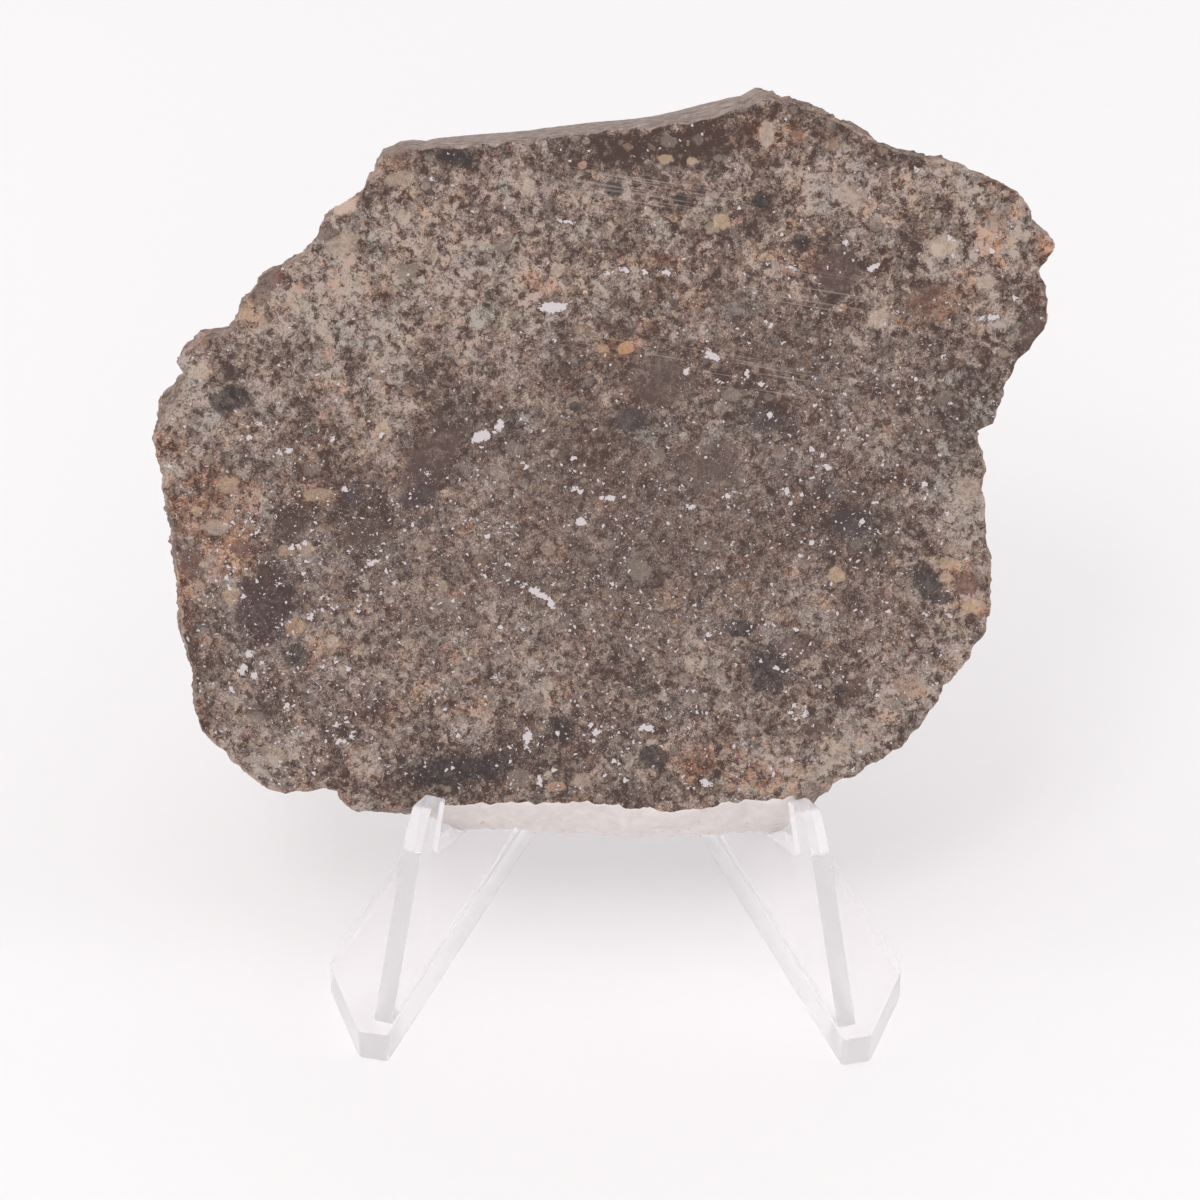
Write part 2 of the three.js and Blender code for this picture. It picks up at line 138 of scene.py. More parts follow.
# Fragments and single chondrules of each kind: its colour, how even it is inside, and for each one across,
# up, half width, half height and turn.
CLASTS = {
    "umber": ((84, 62, 55), 0.6, [
        (-25.2, 21.0, 1.1, 0.7, -20), (-27.4, 40.7, 1.3, 1.0, 30), (-27.6, 39.3, 0.9, 1.3, -15),
        (-22.6, 43.9, 0.9, 0.7, 0), (31.5, 36.8, 1.1, 1.5, -25), (13.4, 11.6, 1.4, 1.3, 0),
        (15.6, 5.3, 1.1, 0.9, 0), (18.6, 8.7, 1.2, 0.8, 0), (3.0, 32.6, 2.6, 2.0, 0),
        (16.6, 41.2, 1.6, 1.9, 0), (-14.6, 26.2, 3.4, 1.5, 52), (-19.8, 20.6, 2.0, 1.3, 20),
    ]),
    "brown": ((98, 80, 73), 0.45, [
        (7.0, 26.0, 3.0, 2.0, 0),
    ]),
    "plum": ((48, 26, 25), 0.8, [
        (-27.4, 15.0, 2.4, 3.4, -14), (-21.4, 4.8, 0.5, 0.5, 0),
    ]),
    "russet": ((104, 68, 58), 0.7, [
        (-29.3, 19.4, 0.9, 0.6, 0), (-33.2, 18.0, 0.9, 1.2, 0), (-26.4, 40.4, 0.5, 1.1, -15),
        (27.0, 16.9, 1.1, 0.9, 0),
    ]),
    "slate": ((26, 14, 19), 0.76, [
        (-30.2, 30.9, 1.6, 1.1, 20), (-25.0, 10.8, 1.1, 1.0, 0), (-0.6, 47.4, 0.75, 0.65, 0),
        (10.7, 46.7, 0.8, 0.7, 0), (13.7, 43.5, 0.8, 0.6, 0), (4.6, 46.7, 0.5, 0.5, 0),
        (24.0, 17.0, 1.2, 1.6, 25), (25.2, 15.8, 0.9, 0.5, 0), (9.4, 13.3, 1.4, 0.75, 0),
        (12.0, 9.8, 1.7, 1.9, 15), (17.2, 8.4, 0.55, 0.5, 0), (-12.6, 49.7, 1.7, 0.55, -8),
        (-13.4, 1.7, 2.7, 1.2, 12), (-9.6, 2.2, 1.6, 0.9, 20), (-4.2, 5.0, 0.9, 1.2, 0),
        (2.9, 2.9, 1.2, 1.0, -20), (-3.4, 30.6, 0.5, 0.45, 0),
    ]),
    "dusk": ((58, 46, 50), 0.6, [
        (11.2, 29.6, 1.3, 1.0, 0), (-15.6, 23.6, 1.5, 1.1, 30), (-20.6, 23.6, 1.0, 1.1, 0),
        (18.2, 21.8, 1.7, 1.2, 0), (0.9, 29.7, 1.3, 0.9, 0),
    ]),
    "ash": ((130, 118, 106), 0.6, [
        (1.6, 17.9, 1.0, 0.9, 0), (7.4, 49.8, 0.4, 0.3, 0), (14.4, 18.4, 0.55, 0.45, 0),
        (-7.6, 1.2, 0.95, 0.75, 0), (-16.3, 41.0, 0.9, 0.6, 20), (-9.0, 43.0, 0.7, 0.5, 0),
        (-9.2, 25.3, 0.7, 0.6, 0), (-8.0, 27.3, 0.8, 0.6, 0), (2.9, 26.8, 0.9, 0.5, 55),
        (8.6, 31.6, 0.8, 0.5, 0), (-28.2, 5.8, 0.8, 0.6, 0), (5.8, 8.0, 0.7, 0.7, 0),
        (-13.0, 15.0, 0.8, 0.6, 0),
    ]),
    "cream": ((184, 165, 149), 0.65, [
        (-31.2, 20.9, 1.0, 0.6, 0), (-32.4, 33.1, 0.8, 0.65, 0), (18.2, 9.5, 0.35, 0.45, 0),
        (24.5, 43.2, 1.1, 0.85, 0), (11.0, 51.7, 0.6, 1.1, 0), (-7.0, 47.5, 0.5, 0.8, 0),
        (19.8, 37.6, 0.9, 0.8, 0), (28.0, 40.5, 0.8, 0.6, 0), (-22.2, 12.0, 0.6, 0.6, 0),
    ]),
    "rosy_cream": ((166, 146, 130), 0.55, [
        (-16.8, 48.1, 1.3, 0.6, 15), (17.6, 47.0, 1.3, 0.85, -15), (-2.6, 1.0, 0.8, 0.6, 0),
        (26.9, 24.4, 1.2, 1.0, 0), (-21.3, 43.0, 1.5, 0.9, 10), (-15.2, 19.6, 0.5, 0.5, 0),
        (-26.8, 2.8, 1.2, 0.8, -30),
    ]),
    "rosy": ((112, 78, 62), 0.38, [
        (-17.1, 50.0, 1.3, 0.7, 0), (20.5, 15.4, 0.7, 0.7, 0), (24.0, 38.8, 2.3, 1.6, 0),
        (13.4, 51.4, 0.75, 0.5, 30),
    ]),
    "sand": ((188, 160, 132), 0.6, [
        (-32.6, 22.2, 0.5, 0.4, 0), (-30.2, 24.3, 0.9, 0.7, 0), (-23.3, 23.6, 1.2, 0.55, 10),
        (-25.6, 19.1, 0.8, 0.45, 0), (-28.6, 37.6, 0.7, 0.6, 0), (25.6, 18.6, 0.9, 0.5, 0),
        (25.3, 17.4, 0.6, 0.4, 0), (27.6, 15.2, 1.0, 0.55, 0), (3.4, 49.7, 0.65, 0.42, 0),
        (5.4, 49.6, 0.45, 0.35, 0), (-18.2, 28.8, 0.65, 0.5, 0), (-30.0, 15.5, 0.75, 0.8, 0),
        (-24.2, 19.4, 0.65, 0.5, 0), (16.9, 17.6, 0.7, 0.6, -20), (7.7, 45.0, 0.85, 0.55, -30),
    ]),
    "rosy_sand": ((160, 126, 104), 0.45, [
        (22.8, 8.8, 1.2, 1.1, 0),
    ]),
    "amber": ((184, 148, 118), 0.6, [
        (-25.1, 13.1, 0.8, 0.8, 0), (-4.7, 0.5, 0.75, 0.42, 0), (-1.3, 35.1, 0.55, 0.4, 0),
        (-3.0, 49.2, 0.38, 0.32, 0),
    ]),
    "orange": ((198, 150, 110), 0.7, [
        (0.4, 35.2, 0.75, 0.5, 0),
    ]),
    "flesh": ((198, 172, 154), 0.8, [
        (-21.4, 46.2, 1.5, 1.0, 15),
    ]),
}

# ---------------------------------------------------------------- small helpers


def paint(red, green, blue):
    """A colour given as 0 to 255 per channel, as linear light with an alpha of 1: the usual screen curve."""
    shares = np.array([red, green, blue]) / 255
    linear = np.where(shares <= 0.04045, shares / 12.92, ((shares + 0.055) / 1.055) ** 2.4)
    return (*linear.tolist(), 1.0)


def to_row(points):
    """Points of the slice's own frame (across, depth, up, in mm) in the row frame in metres: turned back by
    the lean about x, then moved to the slice's place."""
    across, depth, up = points.T
    turned = np.stack([across, depth * cos(LEAN) + up * sin(LEAN), up * cos(LEAN) - depth * sin(LEAN)], 1)
    return (turned + SLICE_AT) * MM


def to_slice(points):
    """The other way round: row frame in metres to the slice's own frame in mm."""
    x, y, z = (points / MM - SLICE_AT).T
    return np.stack([x, y * cos(LEAN) - z * sin(LEAN), y * sin(LEAN) + z * cos(LEAN)], 1)


WAVE_COUNT = 36
WAVE_SPREAD = (0.67, 1.33)  # least and greatest length, as shares of the one asked for


def waves(points, length, seed):
    """Smooth random relief of about -1 to 1: the sum of plane waves in random directions, with lengths within
    a third of the given one, scaled to a standard deviation of a half."""
    random = np.random.default_rng(seed)
    direction = random.normal(size=(3, WAVE_COUNT))
    direction /= np.linalg.norm(direction, axis=0)
    step = 2 * pi / (length * random.uniform(*WAVE_SPREAD, WAVE_COUNT))
    phase = random.uniform(0, 2 * pi, WAVE_COUNT)
    return np.cos(points @ (direction * step) + phase).sum(1) / np.sqrt(2 * WAVE_COUNT)


def ellipse_distance(across, up, x, z, half_wide, half_high, turn):
    """How far each point lies from the middle of a turned ellipse, in shares of its half sizes."""
    c, s = cos(radians(turn)), sin(radians(turn))
    along = ((across - x) * c + (up - z) * s) / half_wide
    aside = ((up - z) * c - (across - x) * s) / half_high
    return np.hypot(along, aside)


def soft_spots(across, up, spots):
    """The sum of soft spots: each adds its strength times exp(-d^2), d being the ellipse distance."""
    total = np.zeros(len(across))
    for x, z, half_wide, half_high, turn, strength in spots:
        distance = ellipse_distance(across, up, x, z, half_wide, half_high, turn)
        total += strength * np.exp(-distance**2)
    return total


REACH_LEAST = 1  # mm
REACH_PER_SIZE = 1.6  # what the larger half size adds to an ellipsoid's reach into the stone


def depth_inside(points, spots, in_mm):
    """How deep each point lies inside the nearest of several ellipsoids that begin at the front face, and
    which one that is. Negative outside. The depth is 1 - distance, times the smaller half size if it is
    wanted in mm. The distance is that of the ellipse on the face, joined at a right angle with the depth
    below the face in shares of the ellipsoid's reach."""
    across, below, up = points.T
    deepest = np.full(len(across), -np.inf)
    which = np.zeros(len(across), int)
    for i, (x, z, half_wide, half_high, turn, *_) in enumerate(spots):
        reach = REACH_LEAST + REACH_PER_SIZE * max(half_wide, half_high)
        distance = np.hypot(ellipse_distance(across, up, x, z, half_wide, half_high, turn), below / reach)
        depth = (1 - distance) * (min(half_wide, half_high) if in_mm else 1)
        nearer = depth > deepest
        which[nearer] = i
        deepest = np.maximum(deepest, depth)
    return deepest, which


def mesh_object(name, vertices, faces):
    """A mesh object at the origin from a vertex array in metres and lists of faces."""
    mesh = bpy.data.meshes.new(name)
    mesh.from_pydata(vertices.tolist(), [], faces)
    mesh.validate()
    made = bpy.data.objects.new(name, mesh)
    bpy.context.scene.collection.objects.link(made)
    return made


def store(mesh, name, values, kind="FLOAT"):
    """Keeps one value or one colour for each vertex as a named attribute."""
    attribute = mesh.attributes.new(name, kind, "POINT")
    key = "color" if kind == "FLOAT_COLOR" else "value"
    attribute.data.foreach_set(key, np.asarray(values, np.float32).ravel())


# ---------------------------------------------------------------- camera and light

VIEW_FROM = (2.675, -303.99, 243.51)  # mm
VIEW_DOWN = radians(35.476)
VIEW_TURN = radians(-0.505)
VIEW_ROLL = radians(0.163)
LENS = 141.84
SENSOR = 36
NEAREST = 0.01  # metres; what is nearer isn't drawn


def add_camera():
    """A camera that looks down at the front of the slice: turned, tilted down, then rolled."""
    forward = Vector((sin(VIEW_TURN) * cos(VIEW_DOWN), cos(VIEW_TURN) * cos(VIEW_DOWN), -sin(VIEW_DOWN)))
    level = Vector((cos(VIEW_TURN), -sin(VIEW_TURN), 0))
    above = level.cross(forward)
    right = level * cos(VIEW_ROLL) + above * sin(VIEW_ROLL)
    up = above * cos(VIEW_ROLL) - level * sin(VIEW_ROLL)
    data = bpy.data.cameras.new("camera")
    data.lens = LENS
    data.sensor_width = SENSOR
    data.clip_start = NEAREST
    camera = bpy.data.objects.new("camera", data)
    turned = Matrix((right, up, -forward)).transposed().to_4x4()
    camera.matrix_world = Matrix.Translation(Vector(VIEW_FROM) * MM) @ turned
    bpy.context.scene.collection.objects.link(camera)
    bpy.context.scene.camera = camera


TENT = (1.0, 0.985, 0.99, 1)
TENT_STRENGTH = 0.845
LIT_POINT = Vector((0, 0, 0.03))  # metres; every softbox faces it
# Name, place and side in metres, power in watts.
SOFTBOXES = [
    ("key_softbox", (-0.2, -0.38, 0.62), 0.24, 0.71),
    ("left_softbox", (-0.66, 0.05, 0.27), 0.5, 1.4),
    ("right_softbox", (0.66, 0.05, 0.27), 0.5, 1.4),
    ("front_softbox", (0.0, -0.66, 0.24), 0.5, 0.5),
]


def add_light():
    """A white tent: even light from all sides, a square key softbox high in front and a little to the left,
    and softer ones at both sides and in front."""
    world = bpy.data.worlds.new("tent")
    world.use_nodes = True
    background = world.node_tree.nodes["Background"]
    background.inputs["Color"].default_value = TENT
    background.inputs["Strength"].default_value = TENT_STRENGTH
    bpy.context.scene.world = world
    for name, place, side, power in SOFTBOXES:
        data = bpy.data.lights.new(name, "AREA")
        data.shape = "SQUARE"
        data.size = side
        data.energy = power
        light = bpy.data.objects.new(name, data)
        light.location = place
        light.rotation_euler = (LIT_POINT - Vector(place)).to_track_quat("-Z", "Y").to_euler()
        bpy.context.scene.collection.objects.link(light)


BOUNCES = 32  # of one light path


def allow_long_light_paths():
    """Lets light run on inside the clear plastic, which it leaves only after many inner reflections."""
    cycles = bpy.context.scene.cycles
    cycles.max_bounces = BOUNCES
    cycles.glossy_bounces = BOUNCES
    cycles.transmission_bounces = BOUNCES


# ---------------------------------------------------------------- shader nodes


class Nodes:
    """Short ways to add shader nodes to one tree."""

    def __init__(self, tree):
        self.tree = tree

    def put(self, socket, value):
        """Links a socket to an input, or sets the input to a plain value."""
        if isinstance(value, bpy.types.NodeSocket):
            self.tree.links.new(value, socket)
        else:
            socket.default_value = value

    def add(self, kind, inputs=None, **settings):
        made = self.tree.nodes.new("ShaderNode" + kind)
        for name, value in settings.items():
            setattr(made, name, value)
        for name, value in (inputs or {}).items():
            self.put(made.inputs[name], value)
        return made

    def math(self, operation, *values, clamp=False):
        return self.add("Math", dict(enumerate(values)), operation=operation, use_clamp=clamp).outputs[0]

    def vector(self, operation, first, second):
        inputs = {0: first, "Scale" if operation == "SCALE" else 1: second}
        return self.add("VectorMath", inputs, operation=operation).outputs[0]

    def mix(self, share, low, high, blend="MIX"):
        inputs = {0: share, 6: low, 7: high}
        return self.add("Mix", inputs, data_type="RGBA", blend_type=blend).outputs[2]

    def step(self, *values):
        """A smooth step of a value: 0 below the second number and 1 above the third, or the fourth number
        below and the fifth above."""
        return self.add("MapRange", dict(enumerate(values)), interpolation_type="SMOOTHSTEP").outputs[0]

    def noise(self, vector, scale, detail, roughness, output="Fac"):
        inputs = {"Vector": vector, "Scale": scale, "Detail": detail, "Roughness": roughness}
        return self.add("TexNoise", inputs).outputs[output]

    def swing(self, *noise):
        """Noise about zero, from -0.5 to 0.5."""
        return self.math("SUBTRACT", self.noise(*noise), 0.5)

    def bend(self, vector, scale, reach, detail):
        """The same place pushed aside by noise, so that what is drawn with it gets ragged edges."""
        push = self.vector("SUBTRACT", self.noise(vector, scale, detail, 0.6, "Color"), (0.5, 0.5, 0.5))
        return self.vector("ADD", vector, self.vector("SCALE", push, reach))

    def askew(self, vector):
        """The same place in a frame turned well away from the slice's faces, so that no texture's grid lies
        along them."""
        made = self.add("Mapping", {"Vector": vector})
        made.inputs["Location"].default_value = (13.1, 7.7, 3.9)
        made.inputs["Rotation"].default_value = (0.72, 0.51, 0.93)
        return made.outputs[0]

    def cells(self, vector, scale, metric="EUCLIDEAN"):
        """Cells of one size: distance to the nearest cell's middle, and three random shares for that cell."""
        made = self.add("TexVoronoi", {"Vector": vector, "Scale": scale}, distance=metric)
        random = self.add("SeparateColor", {"Color": made.outputs["Color"]})
        return made.outputs["Distance"], *random.outputs[:3]

    def ramp(self, value, stops, interpolation="LINEAR"):
        made = self.add("ValToRGB", {"Fac": value})
        ramp = made.color_ramp
        ramp.interpolation = interpolation
        while len(ramp.elements) < len(stops):
            ramp.elements.new(0.5)
        for element, (position, colour) in zip(ramp.elements, stops):
            element.position = position
            element.color = colour
        return made.outputs["Color"]

    def attribute(self, name, output="Fac"):
        return self.add("Attribute", attribute_name=name).outputs[output]

    def group(self, tree, **inputs):
        return self.add("Group", inputs, node_tree=tree).outputs


# Sockets of these names carry a place or a colour, and all others a number.
SOCKET_KINDS = {"Vector": "Vector", "Color": "Color"}


def shader_group(name, build, inputs, outputs):
    """A node group: the names of its sockets, and a function that makes its inside."""
    tree = bpy.data.node_groups.new(name, "ShaderNodeTree")
    for way, labels in (("INPUT", inputs), ("OUTPUT", outputs)):
        for label in labels.split():
            kind = "NodeSocket" + SOCKET_KINDS.get(label, "Float")
            tree.interface.new_socket(label, in_out=way, socket_type=kind)
    nodes = Nodes(tree)
    given = tree.nodes.new("NodeGroupInput").outputs
    results = tree.nodes.new("NodeGroupOutput").inputs
    for label, value in build(nodes, given).items():
        tree.links.new(value, results[label])
    return tree


def new_material(name):
    """A material with an empty tree: its short node maker and its Principled shader."""
    material = bpy.data.materials.new(name)
    material.use_nodes = True
    material.node_tree.nodes.clear()
    nodes = Nodes(material.node_tree)
    shader = nodes.add("BsdfPrincipled")
    output = nodes.add("OutputMaterial", {"Surface": shader.outputs[0]})
    return material, nodes, shader, output


def slice_place(nodes):
    """The place on the slice in its own frame, in mm: object coordinates moved and turned back."""
    place = nodes.add("TexCoord").outputs["Object"]
    mapping = nodes.add("Mapping", {"Vector": place}, vector_type="TEXTURE")
    mapping.inputs["Location"].default_value = SLICE_AT * MM
    mapping.inputs["Rotation"].default_value = (-LEAN, 0, 0)
    mapping.inputs["Scale"].default_value = (MM, MM, MM)
    return mapping.outputs[0]


def stone_place(nodes):
    """The place on the slice, and the place that the stone's patterns are drawn at: askew and ragged."""
    place = slice_place(nodes)
    return place, nodes.bend(nodes.askew(place), 1.6, 0.7, 2.0)


# ---------------------------------------------------------------- effects on the stone

GRAIN_STOPS = [
    (0.00, paint(56, 32, 22)),
    (0.18, paint(80, 58, 49)),
    (0.36, paint(96, 77, 67)),
    (0.52, paint(114, 95, 84)),
    (0.68, paint(131, 112, 102)),
    (0.82, paint(146, 128, 117)),
    (1.00, paint(170, 153, 142)),
]
GRAIN_LEVEL = 0.513  # where the middle tone lies on the ramp
# How far each part of the mixture reaches along the ramp.
CLOUDS, FINE_GRAIN, BLOTCHES, TONE_REACH = 1.5, 1.65, 1.3, 0.27
DARK_SPECKS, UNSPECKLED, PALE_SPECKS = -0.46, 0.06, 0.3
PEBBLES = ((0.62, 0.42), (1.3, 0.7))  # cells per mm, and how far their tones reach
HUE_CLOUDS, HUE_PEBBLES = 2.5, 0.9
WARM = (1.2, 0.96, 0.8, 1)
COOL = (0.87, 0.99, 1.05, 1)
ROSY_TO_OLIVE = [(0.1, (1.015, 0.98, 1.02, 1)), (0.9, (0.985, 1.02, 0.975, 1))]


def inside_grain(nodes, given):
    """Mottled groundmass: pebbly cells of two sizes, each with its own tone and hue, clouds, dark and pale
    specks with crisp edges, and fine noise, added up and read off a ramp from dark matrix to pale grains.
    Tone shifts the sum, contrast spreads all but the fine noise, patchy adds broad blotches, and warmth
    turns the colour brown or slate."""
    place = given["Vector"]
    total = nodes.math("MULTIPLY", nodes.swing(place, 0.95, 4.0, 0.7), CLOUDS)
    hue = nodes.math("MULTIPLY", nodes.swing(place, 0.42, 2.0, 0.6), HUE_CLOUDS)
    olive = 0.0
    for scale, reach in PEBBLES:
        distance, tone, green, tint = nodes.cells(place, scale)
        body = nodes.step(distance, 0.4, 0.54, 1.0, 0.0)
        share = nodes.math("MULTIPLY", nodes.math("SUBTRACT", tone, 0.5), reach)
        total = nodes.math("MULTIPLY_ADD", share, body, total)
        hue = nodes.math("MULTIPLY_ADD", nodes.math("SUBTRACT", tint, 0.5), HUE_PEBBLES, hue)
        olive = nodes.math("ADD", green, olive)
    specks = nodes.noise(place, 1.75, 3.5, 0.7)
    dark = nodes.step(specks, 0.42, 0.47, DARK_SPECKS, UNSPECKLED)
    pale = nodes.step(specks, 0.56, 0.61, 0.0, PALE_SPECKS)
    total = nodes.math("ADD", total, nodes.math("ADD", dark, pale))
    level = nodes.math("MULTIPLY_ADD", total, given["Contrast"], GRAIN_LEVEL)
    level = nodes.math("MULTIPLY_ADD", nodes.swing(place, 8.0, 1.0, 0.6), FINE_GRAIN, level)
    blotch = nodes.math("MULTIPLY", nodes.swing(place, 0.22, 2.0, 0.6), BLOTCHES)
    level = nodes.math("MULTIPLY_ADD", blotch, given["Patchy"], level)
    level = nodes.math("MULTIPLY_ADD", given["Tone"], TONE_REACH, level)
    colour = nodes.ramp(level, GRAIN_STOPS)
    warmth = nodes.math("ADD", hue, given["Warmth"])
    warm = nodes.mix(1.0, colour, WARM, "MULTIPLY")
    cool = nodes.mix(1.0, colour, COOL, "MULTIPLY")
    colour = nodes.mix(nodes.step(warmth, 0.0, 1.4), colour, warm)
    colour = nodes.mix(nodes.step(nodes.math("MULTIPLY", warmth, -1.0), 0.0, 1.3), colour, cool)
    tints = nodes.ramp(nodes.math("MULTIPLY", olive, 0.5), ROSY_TO_OLIVE)
    return {"Color": nodes.mix(1.0, colour, tints, "MULTIPLY")}


GRAIN_RADIUS, GRAIN_RADIUS_SPREAD = 0.14, 0.24  # least radius and what chance adds, in shares of a cell


def inside_round_grains(nodes, given):
    """Round grains: discs around the middles of random cells, each with its own radius; only a share of the
    cells hold one. Gives their mask, a random share for each, and the darker line around them."""
    distance, size, chosen, pick = nodes.cells(nodes.vector("SCALE", given["Vector"], given["Scale"]), 1.0)
    radius = nodes.math("MULTIPLY_ADD", size, GRAIN_RADIUS_SPREAD, GRAIN_RADIUS)
    inside = nodes.math("SUBTRACT", radius, distance)
    present = nodes.math("LESS_THAN", chosen, given["Share"])
    mask = nodes.math("MULTIPLY", nodes.step(inside, -0.05, 0.07), present)
    edge = nodes.math("ABSOLUTE", nodes.math("ADD", inside, 0.05))
    line = nodes.math("MULTIPLY", nodes.step(edge, 0.0, 0.09, 1.0, 0.0), present)
    return {"Mask": mask, "Pick": pick, "Line": line}


# Cells per mm, share of the cells that hold a grain, least and largest radius as shares of a cell.
METAL_SIZES = ((7.5, 0.62, 0.2, 0.5), (3.2, 0.38, 0.2, 0.66), (1.25, 0.19, 0.12, 0.5))
SPARSE, CLUMPED = 0.25, 1.7  # plenty of metal between the clumps and in them
MOSTLY_SMALL = 2.2  # power of the random size


def inside_metal(nodes, given):
    """Metal grains: ragged lozenges around the middles of random cells of three sizes, in clumps, and the
    placed ones, whose depth in mm comes with the mesh. Gives their mask and the dark rim of matrix around
    them."""
    place = given["Vector"]
    clump = nodes.step(nodes.noise(place, 0.34, 3.0, 0.65), 0.36, 0.66, SPARSE, CLUMPED)
    plenty = nodes.math("MULTIPLY", given["Plenty"], clump)
    depth = nodes.math("ADD", nodes.swing(place, 2.6, 3.0, 0.7), given["Placed"])
    for scale, share, least, most in METAL_SIZES:
        distance, size, chosen, _ = nodes.cells(place, scale, "MANHATTAN")
        radius = nodes.math("MULTIPLY_ADD", nodes.math("POWER", size, MOSTLY_SMALL), most - least, least)
        absent = nodes.math("GREATER_THAN", chosen, nodes.math("MULTIPLY", plenty, share))
        inside = nodes.math("SUBTRACT", radius, nodes.math("ADD", distance, absent))
        depth = nodes.math("MAXIMUM", depth, nodes.math("MULTIPLY", inside, 1 / scale))
    return {"Mask": nodes.step(depth, -0.005, 0.03), "Halo": nodes.step(depth, -0.16, -0.01)}


RUST_REACH = 0.12  # how much the amount widens the spots
RUST_STOPS = [(0.4, (0.9, 0.69, 0.59, 1)), (0.5, (1.0, 0.83, 0.69, 1)), (0.62, (1.14, 1.0, 0.79, 1))]


def inside_rust(nodes, given):
    """Rust around the iron: a stain that multiplies the colour and so keeps the grain. It lies in spots that
    close up as the amount grows, and runs from red-brown to orange and tan from spot to spot."""
    place = given["Vector"]
    level = nodes.math("MULTIPLY_ADD", given["Amount"], RUST_REACH, nodes.noise(place, 1.25, 4.0, 0.68))
    stain = nodes.ramp(nodes.noise(place, 1.7, 2.0, 0.6), RUST_STOPS)
    stained = nodes.mix(1.0, given["Color"], stain, "MULTIPLY")
    return {"Color": nodes.mix(nodes.step(level, 0.59, 0.71), given["Color"], stained)}


def stone_groups():
    """The effects that the sawn faces and the rim share."""
    return {
        "grain": shader_group("stone_grain", inside_grain, "Vector Tone Contrast Patchy Warmth", "Color"),
        "round": shader_group("round_grains", inside_round_grains, "Vector Scale Share", "Mask Pick Line"),
        "metal": shader_group("metal_grains", inside_metal, "Vector Plenty Placed", "Mask Halo"),
        "rust": shader_group("rust_stain", inside_rust, "Vector Amount Color", "Color"),
    }


# ---------------------------------------------------------------- materials

ROUND_GRAIN_STOPS = [
    (0.00, paint(72, 56, 50)),
    (0.14, paint(136, 124, 114)),
    (0.42, paint(160, 142, 126)),
    (0.62, paint(150, 122, 100)),
    (0.76, paint(122, 116, 108)),
    (0.90, paint(170, 154, 132)),
]
# Round grains: cells per mm, share of the cells that hold one, how well they cover the ground.
ROUND_GRAINS = ((1.6, 0.26, 0.75), (1.05, 0.3, 0.72), (0.6, 0.2, 0.75))
GROUND_IN_GRAINS = 0.38  # how much of the ground shows inside one
GRAIN_LINES, SAW_LINES, METAL_HALO = 0.36, 0.5, 0.45  # how strongly each shows
CALM_CONTRAST, PATCHY_CONTRAST = 0.46, 0.54  # the ground's contrast where it is even, and what patchy adds
METAL = paint(186, 178, 179)
MATRIX = paint(66, 44, 36)
SAWN_LINE = paint(164, 148, 138)
STONE_ROUGHNESS, METAL_ROUGHNESS, RIM_ROUGHNESS = 0.5, 0.32, 0.7
FACE_RELIEF, RIM_RELIEF = 0.03 * MM, 0.12 * MM


def sawn_face_material(groups):
    """The sawn and lightly polished face: groundmass, round grains, rust, placed fragments, fine saw lines,
    and bright metal."""
    material, nodes, shader, _ = new_material("sawn_chondrite")
    place, bent = stone_place(nodes)
    frayed = nodes.bend(bent, 6.5, 0.17, 1.0)
    tone, warmth, patchy = (nodes.attribute(name) for name in ("tone", "warmth", "patchy"))
    contrast = nodes.math("MULTIPLY_ADD", patchy, PATCHY_CONTRAST, CALM_CONTRAST)
    grain = nodes.group(
        groups["grain"], Vector=bent, Tone=tone, Contrast=contrast, Patchy=patchy, Warmth=warmth
    )
    colour = grain["Color"]
    for scale, share, cover in ROUND_GRAINS:
        spots = nodes.group(groups["round"], Vector=bent, Scale=scale, Share=share)
        paler = nodes.ramp(spots["Pick"], ROUND_GRAIN_STOPS, "CONSTANT")
        inner = nodes.mix(GROUND_IN_GRAINS, paler, colour)
        colour = nodes.mix(nodes.math("MULTIPLY", spots["Line"], GRAIN_LINES), colour, MATRIX)
        colour = nodes.mix(nodes.math("MULTIPLY", spots["Mask"], cover), colour, inner)
    rust = nodes.group(groups["rust"], Vector=bent, Amount=warmth, Color=colour)
    colour = with_clasts(nodes, bent, rust["Color"])
    lines = saw_lines(nodes, place)
    colour = nodes.mix(nodes.math("MULTIPLY", lines, SAW_LINES), colour, SAWN_LINE)
    plenty = nodes.attribute("metal_plenty")
    metal = nodes.group(groups["metal"], Vector=frayed, Plenty=plenty, Placed=nodes.attribute("metal_depth"))
    mask = metal["Mask"]
    colour = nodes.mix(nodes.math("MULTIPLY", metal["Halo"], METAL_HALO), colour, MATRIX)
    nodes.put(shader.inputs["Base Color"], nodes.mix(mask, colour, METAL))
    nodes.put(shader.inputs["Metallic"], mask)
    nodes.put(shader.inputs["Roughness"], nodes.step(mask, 0.0, 1.0, STONE_ROUGHNESS, METAL_ROUGHNESS))
    relief = nodes.math("MULTIPLY_ADD", lines, -0.5, nodes.noise(place, 5.0, 2.0, 0.6))
    bump = nodes.add("Bump", {"Height": relief, "Strength": 0.5, "Distance": FACE_RELIEF})
    nodes.put(shader.inputs["Normal"], bump.outputs[0])
    return material


CLAST_RAGGED = 1.3  # how far a fragment's edge wanders, in shares of its half size


def with_clasts(nodes, bent, colour):
    """Lays the placed fragments over a colour: ragged at the edge, and more or less even inside."""
    ragged = nodes.swing(bent, 1.4, 3.0, 0.7)
    inside = nodes.math("MULTIPLY_ADD", ragged, CLAST_RAGGED, nodes.attribute("clast_depth"))
    calm = nodes.math("MULTIPLY", nodes.step(inside, -0.08, 0.2), nodes.attribute("clast_evenness"))
    return nodes.mix(calm, colour, nodes.attribute("clast_colour", "Color"))


